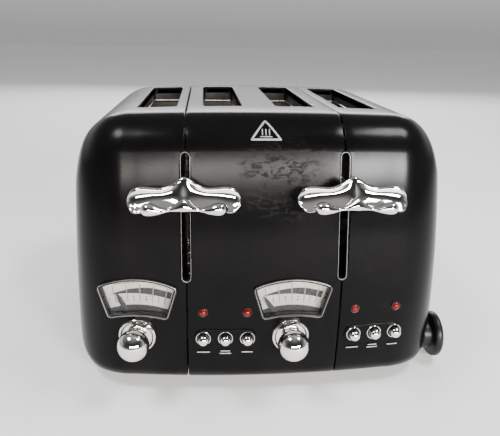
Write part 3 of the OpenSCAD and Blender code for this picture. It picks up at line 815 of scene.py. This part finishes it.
def centre_shell():
    edge = SEAM_X - SEAM_GAP / 2
    flat = edge - SEAM_EDGE
    middle = [ring_at(-flat + 2 * flat * i / 16, 0) for i in range(1, 16)]
    outer = rings_solid(seam_rings(-edge, 1) + middle + seam_rings(edge, -1)[::-1])
    inner = rings_solid([ring_at(-edge - 4 + (2 * edge + 8) * i / 14, WALL) for i in range(15)])
    made = make_object("shell_centre_skin", *outer)
    cut(made, [inner])
    holes = front_holes(0)[2:] + front_holes(1)[:2] + slot_holes(SLOT_X[1:3])
    gland = Matrix.Translation((0, HALF_D, GLAND_Z))
    holes += [prism(circle(5.0), -10, 10, on_plane(gland)), base_hole()] + tray_holes()
    cut(made, holes + [lever_hole(x) for x in UNIT_SEAM])
    parts = ["shell_centre_front", "shell_centre_top", "shell_centre_rear"]
    return finish_piece(made, SATIN, "casing", parts)


def slot_rims():
    """The folded edge of each bread slot: flush with the top, rounded over and down inside."""
    turn = [(1.0 - math.sin(a), 1.0 - math.cos(a)) for a in (math.radians(9 * i) for i in range(11))]
    profile = [(1.9, 0.9), (1.9, -0.02), (1.0, -0.02)] + turn[1:] + [(0.0, 6.0), (0.9, 6.0), (0.9, 1.5)]
    piece("slot_rims", [band(slot_outline(x), profile, on_top) for x in SLOT_X], SATIN, "casing")


def liners():
    """Dark steel frames inside the slots, with a bright rolled lower edge."""
    def upright(a, b, z):
        return (a, b, z)

    walls = []
    rolls = []
    for x in SLOT_X:
        high = top_z(abs(x) + SLOT_W / 2 + LINER_T) - WALL - 0.3
        profile = [(0.0, high), (0.0, LINER_LOW), (LINER_T, LINER_LOW), (LINER_T, high)]
        walls.append(band(slot_outline(x), profile, upright))
        rolls.append(band(slot_outline(x), [(0.5 + a, LINER_LOW + b) for a, b in circle(0.95, 12)], upright))
    piece("slot_liner_walls", walls, LINER, "casing", ["slot_liners"])
    piece("slot_liner_rolls", rolls, WIRE, "casing")


def lever_slot_rims():
    """A black moulded rim round each lever slot, with a thin bright line inside. It follows the front."""
    def on_front(a, b, deep):
        return (a, front_y(a) + LEAN * (b - LEAN_Z) ** 2 + deep, b)

    rim = [(0.3, 2.2), (0.3, -0.05), (0.5, -0.25), (0.8, -0.25), (1.05, -0.15), (1.15, 0.1), (1.15, 2.2)]
    line = [(0.05, 1.2), (0.05, -0.32), (0.12, -0.42), (0.2, -0.42), (0.27, -0.32), (0.27, 1.2)]
    for side, x in zip(SIDES, UNIT_SEAM):
        outline = lever_slot_outline(x, LEVER_SLOT_R)
        rims = [band(outline, rim, on_front)]
        piece("lever_slot_rim_" + side, rims, SATIN, "casing", ["slot_bezel_" + side])
        piece("lever_slot_line_" + side, [band(outline, line, on_front)], SILVER, "casing")


def badge():
    """A plain triangle on the top front edge, with three short bars inside."""
    middle = math.radians(144)

    def on_edge(a, b, deep):
        angle = middle - b / EDGE_FRONT
        y = front_y(a) + EDGE_FRONT + (EDGE_FRONT - deep) * math.cos(angle)
        z = top_z(a) - EDGE_FRONT + (EDGE_FRONT - deep) * math.sin(angle)
        return (a, y + LEAN * (z - LEAN_Z) ** 2, z)

    corners = [(-11.5, -7.6), (11.5, -7.6), (0.0, 8.0)]
    outline = []
    for i, corner in enumerate(corners):
        outline += soft_corner(corners[i - 1], corner, corners[(i + 1) % 3], 1.6, 5)
        after = corners[(i + 1) % 3]
        outline += [tuple(Vector(corner).lerp(Vector(after), t)) for t in (0.25, 0.5, 0.75)]
    profile = [(0.0, 0.1), (0.0, -0.12), (-0.15, -0.24), (-1.15, -0.24), (-1.3, -0.12), (-1.3, 0.1)]
    bar = [(a, b - 1.9) for b, a in pill(1.9, 0.36, 6)]
    bars = [prism([(x + a, b) for a, b in bar], -0.2, 0.1, on_edge) for x in (-2.5, 0, 2.5)]
    line = prism([(a, b - 5.1) for a, b in pill(4.0, 0.32, 6)], -0.2, 0.1, on_edge)
    solids = [band(outline, profile, on_edge), line] + bars
    piece("heat_badge", solids, SILVER, "casing", ["top_badge"])


# ---------------------------------------------------------------- gauges


def gauge(i):
    side = SIDES[i]
    place = on_plane(gauge_plane(i))
    rim = [
        (-1.2, 4.2), (-1.2, -0.25), (-1.0, -0.7), (-0.5, -1.05), (0.2, -1.2), (0.9, -1.1),
        (1.35, -0.75), (1.5, -0.3), (1.5, -0.05), (0.0, -0.05), (0.0, 4.2),
    ]
    rims = [band(fan(0), rim, place)]
    piece("gauge_rim_" + side, rims, BEZEL, "casing", ["gauge_bezel_" + side])
    edge_line = [(0.2, -0.9), (0.22, -1.28), (0.36, -1.4), (0.54, -1.3), (0.6, -0.9)]
    piece("gauge_trim_" + side, [band(fan(0), edge_line, place)], SHEET, "casing")
    wall = [(-0.6, 4.0), (0.6, 4.0), (0.9, 7.2), (-0.3, 7.2)]
    piece("gauge_well_" + side, [band(fan(0), wall, place)], PLASTIC, "casing")
    lens = prism(fan(-1.25), 0.2, 1.4, place, 0.3)
    piece("gauge_glass_" + side, [lens], GLASS, "casing", ["gauge_lens_" + side])
    card = [prism(fan(1), *DIAL_CARD, place)]
    piece("dial_card_" + side, card, PAPER, "casing", ["gauge_dial_" + side])
    ink = (DIAL_CARD[0] - 0.05, DIAL_CARD[0] + 0.02)
    dial_wedge(side, place, ink)
    dial_ticks(side, place)
    dial_figures(side, place, ink)


def dial_wedge(side, place, ink):
    """The browning wedge, the dark foot and a heading bar, each a thin layer of ink on the card."""
    steps = [x / 24 for x in range(25)]
    lower = [(-21.5, 0.2), (-11.0, 1.5), (0.0, 1.8), (11.0, 0.6), (22.8, -2.0)]
    upper = [(-21.5, 0.4), (-15.0, 2.9), (-7.2, 5.2), (2.4, 6.5), (11.0, 6.2), (24.2, 3.2)]
    wedge = [(-21.5 + 44.3 * t, through(lower, -21.5 + 44.3 * t)) for t in steps]
    wedge += [(-21.5 + 45.7 * t, through(upper, -21.5 + 45.7 * t)) for t in steps[::-1]]
    skirt = [(-27.0 + 54.0 * t, -7.0 - 0.0078 * (-27.0 + 54.0 * t) ** 2) for t in steps]
    skirt += [(27.0, -15.5), (-27.0, -15.5)]
    skirt = clipped(skirt, fan(0.6))
    wedges = [prism(wedge, *ink, place), prism(skirt, *ink, place)]
    piece("dial_wedge_" + side, wedges, INK, "casing")
    heading = [(a - 9.5, b + 11.2 - 0.0078 * (a - 9.5) ** 2) for a, b in pill(9.0, 0.5, 4)]
    piece("dial_heading_" + side, [prism(heading, *ink, place)], TICK_INK, "casing")


def on_dial(r, turn):
    """The place at radius r from the dial's axis, turned clockwise from the top."""
    return (DIAL_AXIS[0] + r * math.sin(turn), DIAL_AXIS[1] + r * math.cos(turn))


def dial_ticks(side, place):
    card = DIAL_CARD[0]
    ticks = []
    for k in range(-2, 3):
        turn = k * DIAL_PITCH
        low, high = (90.5, 103.6) if k else (91.0, 104.6)
        across = Vector((math.cos(turn), -math.sin(turn))) * 0.38
        line = [Vector(on_dial(r, turn)) for r in (low, high)]
        corners = [line[0] - across, line[0] + across, line[1] + across, line[1] - across]
        ticks.append(prism([tuple(c) for c in corners], card - 0.09, card, place))
    piece("dial_ticks_" + side, ticks, TICK_INK, "casing")


def dial_figures(side, place, ink):
    """Six dots, each with its number under it."""
    dots = []
    for k in range(6):
        turn = (k - 2.5) * DIAL_PITCH
        x, z = on_dial(94.5, turn)
        dots.append(prism([(x + a, z + b) for a, b in circle(0.52, 12)], *ink, place))
        number(str(k + 1), side, on_dial(92.0, turn), turn, place, ink[0])
    piece("dial_dots_" + side, dots, INK, "casing")


def clipped(outline, limit):
    """Pulls the outline's points in to the limit's width and foot."""
    low = min(b for a, b in limit)
    found = []
    for a, b in outline:
        b = max(b, low + 0.2)
        across = [p for p in limit if abs(p[1] - b) < 1.6]
        reach = max(abs(p[0]) for p in across) if across else 25.0
        found.append((max(-reach, min(reach, a)), b))
    return found


def number(text, side, centre, turn, place, deep):
    """A small printed figure on the dial."""
    curve = bpy.data.curves.new("figure", "FONT")
    curve.body = text
    curve.size = 3.3
    curve.offset = 0.03
    curve.align_x = "CENTER"
    curve.align_y = "CENTER"
    curve.resolution_u = 3
    holder = bpy.data.objects.new("figure", curve)
    bpy.context.scene.collection.objects.link(holder)
    bpy.context.view_layer.update()
    mesh = bpy.data.meshes.new_from_object(holder)
    bpy.data.objects.remove(holder)
    points = []
    for vertex in mesh.vertices:
        across = Vector((vertex.co.x, vertex.co.y))
        across.rotate(Matrix.Rotation(-turn, 2))
        points.append(place(centre[0] + across.x, centre[1] + across.y, deep))
    faces = [list(face.vertices) for face in mesh.polygons]
    piece("dial_number_%s_%s" % (side, text), [(points, faces)], INK, "casing")


def pointer(i):
    """A dark needle on the knob's shaft, behind the glass."""
    side = SIDES[i]
    plane = knob_plane(i) @ Matrix.Rotation(-math.radians(POINTER_REST[i]), 4, "Y")
    place = on_plane(plane)
    blade = [
        (-2.3, -1.0), (2.3, -1.0), (1.9, 20.0), (1.6, 29.0), (0.35, 35.0), (-0.35, 35.0), (-1.6, 29.0),
        (-1.9, 20.0),
    ]
    hub = turned([(3.05, -5.75), (3.05, -4.95), (5.0, -4.95), (5.2, -5.2), (5.2, -5.75)], plane, 40, True)
    solids = [prism(blade, 5.0, 5.7, place, 0.2), hub]
    piece("pointer_" + side, solids, INK, "knob_" + side, ["gauge_pointer_" + side])


# ---------------------------------------------------------------- knobs, buttons, lamps


def knob(i):
    """A chrome ball on a domed shoulder that rises from a shallow dish."""
    side = SIDES[i]
    neck = 7.2
    joint = math.degrees(math.asin(neck / KNOB_R))
    dish = [(10.7, 0.6), (11.2, 1.0), (11.35, 1.6), (11.1, 2.2), (10.6, 2.3), (10.2, 1.95), (8.4, 2.4)]
    shoulder = [(8.0, 2.7), (7.75, 3.3), (7.6, 4.1), (7.4, 4.8)]
    ball = arc(0, KNOB_OUT, KNOB_R, -90 + joint, 89, 44)
    profile = [(0.05, -16.0), (3.0, -16.0), (3.0, 0.6)] + dish + shoulder + ball
    solid = turned(profile, knob_plane(i), 96)
    piece("knob_ball_" + side, [solid], CHROME, "knob_" + side, ["knob_" + side])


def knob_rings():
    profile = [
        (11.8, 0.05), (13.8, 0.05), (13.9, 0.8), (13.8, 1.8), (13.4, 2.5), (12.9, 2.85), (12.4, 2.85),
        (12.0, 2.6), (11.82, 2.1), (11.8, 1.4),
    ]
    rings = [turned(profile, knob_plane(i), 96, True) for i in (0, 1)]
    piece("knob_rings", rings, CHROME, "casing", ["knob_collars"])


def button(i, k):
    name = BUTTON_NAMES[k + 1] + "_" + SIDES[i]
    stem = [(0.05, -11.0), (2.6, -11.0), (2.6, -1.0), (2.9, 0.2)]
    ball = arc(0, 3.2, BUTTON_R, -46, 88, 30)
    solid = turned(stem + ball, button_plane(i, k), 56)
    piece("push_" + name, [solid], CHROME, "button_" + name, ["button_" + name])


def button_trim():
    ring = [
        (4.9, -2.6), (5.1, -2.6), (5.1, 0.7), (5.6, 0.72), (5.62, 1.0), (5.45, 1.3), (5.2, 1.38),
        (4.98, 1.25), (4.9, 1.0),
    ]
    places = [button_plane(i, k) for i in (0, 1) for k in (-1, 0, 1)]
    rings = [turned(ring, p, 56, True) for p in places]
    piece("push_rings", rings, CHROME, "casing", ["button_rings"])
    plates = []
    for i in (0, 1):
        plate = prism(pill(BUTTON_PITCH, 7.2, 16), -0.6, -0.05, on_plane(button_plane(i)), 0.5)
        plates.append(plate)
    made = make_object("push_plates", *joined(plates))
    cut(made, [prism(circle(5.15), -4, 4, on_plane(p)) for p in places])
    finish_piece(made, SATIN, "casing", ["button_plates"])


def captions():
    """Plain dashes under the buttons: one, two stacked, one."""
    marks = []
    for i in (0, 1):
        for k, rows in ((-1, ((0.0, 4.4),)), (0, ((0.9, 3.2), (-1.2, 4.0))), (1, ((0.0, 3.9),))):
            place = on_plane(button_plane(i, k) @ Matrix.Translation((0, 0, -12.0)))
            for up, half in rows:
                marks.append(prism([(a, b + up) for a, b in pill(half, 0.36, 6)], -0.12, 0.05, place))
    piece("button_marks", marks, SILVER, "casing")


def lamp_domes():
    stem = [(0.02, -6.0), (2.6, -6.0), (2.6, -2.2), (2.9, -2.2), (2.9, 0.3)]
    profile = stem + arc(0, -0.7, 3.0, 22, 88, 10)
    domes = [turned(profile, panel(seam + x, LAMP_Z), 40) for seam in UNIT_SEAM for x in LAMP_X]
    piece("lamp_domes", domes, RED, "casing", ["lamps"])
    collar = [(2.95, 0.3), (2.95, -0.1), (3.6, -0.1), (3.65, 0.25), (3.35, 0.45)]
    collars = [turned(collar, panel(seam + x, LAMP_Z), 40, True) for seam in UNIT_SEAM for x in LAMP_X]
    piece("lamp_collars", collars, PLASTIC, "casing")


# ---------------------------------------------------------------- levers


def wing_section(u):
    """The lever's upper body at u from its middle, as (y, z) about the stem: a rim over a scooped face."""
    v = abs(u)
    top = through([
        (0, 13.6), (2, 13.0), (5, 11.2), (9, 8.5), (15, 6.4), (22, 6.6), (27, 7.0), (31, 6.5),
        (34.6, 4.4), (36.6, 1.4), (37.5, -1.6),
    ], v)
    low = through([
        (0, -4.6), (20, -6.0), (29, -8.2), (33, -8.0), (35.6, -6.2), (37.0, -4.0), (37.5, -2.6),
    ], v)
    thick = through([(0, 1.0), (31, 1.0), (35, 0.72), (37, 0.36), (37.5, 0.12)], v)
    ridge = 0.45 * math.exp(-v / 3.0)
    tall = top - low
    face = []
    for part, scoop in ((0.22, 2.7), (0.36, 3.1), (0.50, 3.9), (0.64, 5.4), (0.79, 8.0), (0.92, 11.2)):
        z = top - part * tall
        crest = 2.6 + 0.95 * (top - z)
        out = (scoop + (min(crest, 12.0) - scoop) * ridge) * thick
        face.append((-out, z))
    rim = [
        (3.2 * thick, low + 0.25 * tall), (3.3 * thick, top - 0.35 * tall), (2.6 * thick, top - 0.12 * tall),
        (0.8 * thick, top + 0.5), (-1.2 * thick, top + 0.5), (-2.5 * thick, top - 0.03 * tall),
        (-(2.7 + 0.3 * ridge) * thick, top - 0.10 * tall),
    ]
    under = [(-10.6 * thick, low), (-5.0 * thick, low - 0.3), (1.0 * thick, low)]
    return rim + face + under


def lip_section(u):
    """The rolled lip under the face: a bulb on each side and a small peak in the middle."""
    v = abs(u)
    top = through([
        (0, 3.7), (2, 2.2), (5.5, -0.9), (8.5, -3.0), (11.5, -3.6), (15, -2.7), (19, -0.8),
        (22.5, 0.0), (25.5, -0.6), (27.6, -2.4), (28.5, -4.2),
    ], v)
    low = through([
        (0, -5.5), (6, -5.7), (11, -6.4), (17, -8.2), (22, -8.9), (25.5, -8.3), (27.6, -6.4),
        (28.5, -4.9),
    ], v)
    front = through([
        (0, 17.0), (5, 16.0), (10.5, 14.6), (16, 16.6), (22, 17.8), (26, 16.4), (28.5, 12.9),
    ], v)
    rear = through([(0, 8.6), (10.5, 9.4), (20, 8.0), (26, 9.2), (28.5, 11.9)], v)
    lean = 1.9 * max(0.0, 1 - v / 9)
    middle = (top + low) / 2
    half = (top - low) / 2
    ring = []
    for a in range(0, 360, 10):
        up = math.sin(math.radians(a))
        out = (front + rear) / 2 + (front - rear) / 2 * math.cos(math.radians(a)) - lean * up
        ring.append((-out, middle + half * up))
    return ring


def lever_loft(x, half, steps, shape):
    stations = [half * math.sin(math.radians(90 * k / steps)) for k in range(-steps, steps + 1)]
    return rings_solid([[(x + u, LEVER_Y + p[0], LEVER_Z + p[1]) for p in shape(u)] for u in stations])


def lever(i):
    """A cast lever shaped like a moustache, scooped on each side of a ridge above its lip."""
    side = SIDES[i]
    x = UNIT_SEAM[i]
    wing = lever_loft(x, 37.5, 56, lambda u: closed_spline(wing_section(u), 4))
    made = make_object("lever_cast_" + side, *wing)
    lip = make_object("lip", *lever_loft(x, 28.5, 48, lip_section))
    modifier = made.modifiers.new("join", "BOOLEAN")
    modifier.operation = "UNION"
    modifier.solver = "EXACT"
    modifier.object = lip
    apply_modifiers(made)
    bpy.data.objects.remove(lip)
    finish_piece(made, CHROME, "lever_" + side, ["lever_" + side], 26)


# ---------------------------------------------------------------- base, rear and inside


def base_pieces():
    foot = [
        (0.05, 0.0), (8.2, 0.0), (9.0, 0.3), (9.5, 1.0), (9.9, 2.4), (10.0, 4.0), (10.0, 6.0), (0.05, 6.0),
    ]
    down = Matrix.Rotation(math.radians(-90), 4, "X")
    feet = []
    for x in (-FOOT_X, FOOT_X):
        feet += [turned(foot, Matrix.Translation((x, y, 0)) @ down, 56) for y in FOOT_Y]
    piece("rubber_feet", feet, RUBBER, "casing", ["feet"])
    rear = Matrix.Translation((0, HALF_D, GLAND_Z)) @ Matrix.Rotation(math.pi, 4, "Z")
    gland = [
        (3.2, -5.0), (4.9, -5.0), (4.9, 0.05), (8.0, 0.05), (8.1, 1.0), (7.7, 1.8), (6.6, 2.8),
        (5.2, 3.0), (3.8, 3.0), (3.2, 2.5),
    ]
    piece("lead_gland", [turned(gland, rear, 48, True)], PLASTIC, "casing", ["cord_gland"])


def disc():
    """The round black piece low on the right side, as (radius, distance from the casing's middle)."""
    profile = [
        (0.05, 132.0), (12.0, 132.0), (12.0, 146.3), (13.0, 146.9), (16.2, 147.0), (17.8, 147.5),
        (18.7, 148.7), (19.0, 150.2), (18.8, 151.8), (18.0, 153.1), (16.8, 153.9), (15.2, 154.3),
        (13.6, 154.2), (12.4, 153.7), (11.4, 153.9), (9.0, 154.5), (5.0, 154.9), (0.05, 155.0),
    ]
    solid = turned(profile, disc_plane(), 96)
    piece("side_roller_disc", [solid], PLASTIC, "casing", ["side_disc"])


def coil_ring(x, angle, z):
    """The spring wire's section at one angle round the rod."""
    ring = []
    for s in range(8):
        b = math.tau * s / 8
        r = COIL_R + COIL_WIRE_R * math.cos(b)
        up = COIL_WIRE_R * math.sin(b)
        ring.append((x + r * math.cos(angle), ROD_Y + r * math.sin(angle), z + up))
    return ring


def springs():
    """Coil springs on the rods, built at one fixed length; on the toaster they shorten as the levers go
    down.
    """
    turns = 11
    around = 20
    rise = SPRING_HIGH - SPRING_LOW - 2 * COIL_WIRE_R
    for side, x in zip(SIDES, UNIT_SEAM):
        rings = []
        for k in range(turns * around + 1):
            z = SPRING_LOW + COIL_WIRE_R + rise * k / (turns * around)
            rings.append(coil_ring(x, math.tau * k / around, z))
        coil = rings_solid(rings)
        made = piece("coil_" + side, [coil], WIRE, "casing", ["lift_spring_" + side])
        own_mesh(made)


CAD_FINISH = {
    "base_pan": SHEET, "base_screws": WIRE, "front_plate": INNER, "rear_plate": INNER,
    "side_reflectors": INNER, "centre_divider": INNER, "heater_cards": MICA, "heater_wires": RIBBON,
    "control_boards": CIRCUIT,
    "electromagnets": COPPER, "guide_rods": WIRE, "carriage_left": INNER, "carriage_right": INNER,
    "bread_rack_1": WIRE, "bread_rack_2": WIRE, "bread_rack_3": WIRE, "bread_rack_4": WIRE,
    "bread_guides_left_a": WIRE, "bread_guides_left_b": WIRE, "bread_guides_right_a": WIRE,
    "bread_guides_right_b": WIRE, "crumb_tray_left": TRAY, "crumb_tray_right": TRAY,
}


def finish_cad_nodes():
    for name, material in CAD_FINISH.items():
        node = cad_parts[name]
        node.data.materials.clear()
        node.data.materials.append(material)


# ---------------------------------------------------------------- camera, floor and light


def camera():
    data = bpy.data.cameras.new("camera")
    data.lens = 38.74
    data.sensor_width = 36.0
    data.shift_x = 0.0119
    data.shift_y = -0.0109
    data.clip_start = 0.02
    data.clip_end = 60.0
    eye = bpy.data.objects.new("camera", data)
    eye.location = CAMERA_AT
    turn = Matrix.Rotation(math.radians(CAMERA_TURN), 4, "Z")
    down = Matrix.Rotation(math.radians(90 - CAMERA_DOWN), 4, "X")
    roll = Matrix.Rotation(math.radians(CAMERA_ROLL), 4, "Z")
    eye.rotation_euler = (turn @ down @ roll).to_euler()
    bpy.context.scene.collection.objects.link(eye)
    bpy.context.scene.camera = eye


def floor():
    mesh = bpy.data.meshes.new("floor")
    half = 9.0
    corners = [(-half, -half, 0), (half, -half, 0), (half, half, 0), (-half, half, 0)]
    mesh.from_pydata(corners, [], [[0, 1, 2, 3]])
    mesh.materials.append(worktop_floor())
    ground = bpy.data.objects.new("floor", mesh)
    bpy.context.scene.collection.objects.link(ground)


def soft_box(name, place, target, width, height, power, tint=(1.0, 1.0, 1.0)):
    data = bpy.data.lights.new(name, "AREA")
    data.shape = "RECTANGLE"
    data.size = width
    data.size_y = height
    data.energy = power
    data.color = tint
    lamp = bpy.data.objects.new(name, data)
    lamp.location = place
    lamp.rotation_euler = (Vector(target) - Vector(place)).to_track_quat("-Z", "Y").to_euler()
    bpy.context.scene.collection.objects.link(lamp)


def studio():
    """Dim surroundings with a paler band low down behind the toaster, and five soft boxes."""
    world = bpy.data.worlds.new("studio")
    bpy.context.scene.world = world
    world.use_nodes = True
    nodes = world.node_tree.nodes
    links = world.node_tree.links
    way = nodes.new("ShaderNodeTexCoord").outputs["Generated"]
    split = nodes.new("ShaderNodeSeparateXYZ")
    links.new(way, split.inputs["Vector"])

    def ramp(source, stops):
        node = nodes.new("ShaderNodeValToRGB")
        while len(node.color_ramp.elements) < len(stops):
            node.color_ramp.elements.new(0.5)
        for element, (place, value) in zip(node.color_ramp.elements, stops):
            element.position = place
            element.color = (value, value, value, 1.0)
        links.new(source, node.inputs["Fac"])
        return node.outputs["Color"]

    behind = ramp(split.outputs["Z"], [
        (0.0, 0.12), (0.05, 0.15), (0.15, 0.31), (0.28, 0.28), (0.38, 0.15), (0.50, 0.09), (0.70, 0.09),
        (1.0, 0.11),
    ])
    ahead = ramp(split.outputs["Z"], [
        (0.0, 0.10), (0.08, 0.07), (0.20, 0.015), (0.62, 0.012), (0.85, 0.05), (1.0, 0.11),
    ])
    to_unit = nodes.new("ShaderNodeMapRange")
    to_unit.inputs["From Min"].default_value = -0.5
    to_unit.inputs["From Max"].default_value = 0.5
    links.new(split.outputs["Y"], to_unit.inputs["Value"])
    mix = nodes.new("ShaderNodeMix")
    mix.data_type = "RGBA"
    links.new(to_unit.outputs["Result"], mix.inputs["Factor"])
    links.new(ahead, mix.inputs["A"])
    links.new(behind, mix.inputs["B"])
    links.new(mix.outputs["Result"], nodes["Background"].inputs["Color"])
    nodes["Background"].inputs["Strength"].default_value = 3.2
    soft_box("box_left", (-0.75, -0.35, 1.55), (0, -0.05, 0.1), 0.45, 0.35, 16)
    soft_box("box_right", (0.85, -0.25, 1.5), (0, -0.05, 0.1), 0.45, 0.35, 18)
    soft_box("box_ahead", (0.20, -2.1, 0.74), (0, 0, 0.18), 2.2, 0.24, 72, (1.0, 0.945, 0.90))
    soft_box("box_ahead_right", (1.0, -1.75, 0.66), (0, 0, 0.18), 0.5, 0.26, 44)
    soft_box("box_behind", (0.2, 1.9, 0.95), (0, 0, 0.2), 2.2, 0.7, 34)


camera()
floor()
studio()
side_shell(0)
centre_shell()
side_shell(1)
slot_rims()
liners()
lever_slot_rims()
badge()
for unit in (0, 1):
    gauge(unit)
    pointer(unit)
    knob(unit)
    for place_in_row in (-1, 0, 1):
        button(unit, place_in_row)
    lever(unit)
knob_rings()
button_trim()
captions()
lamp_domes()
base_pieces()
disc()
springs()
finish_cad_nodes()
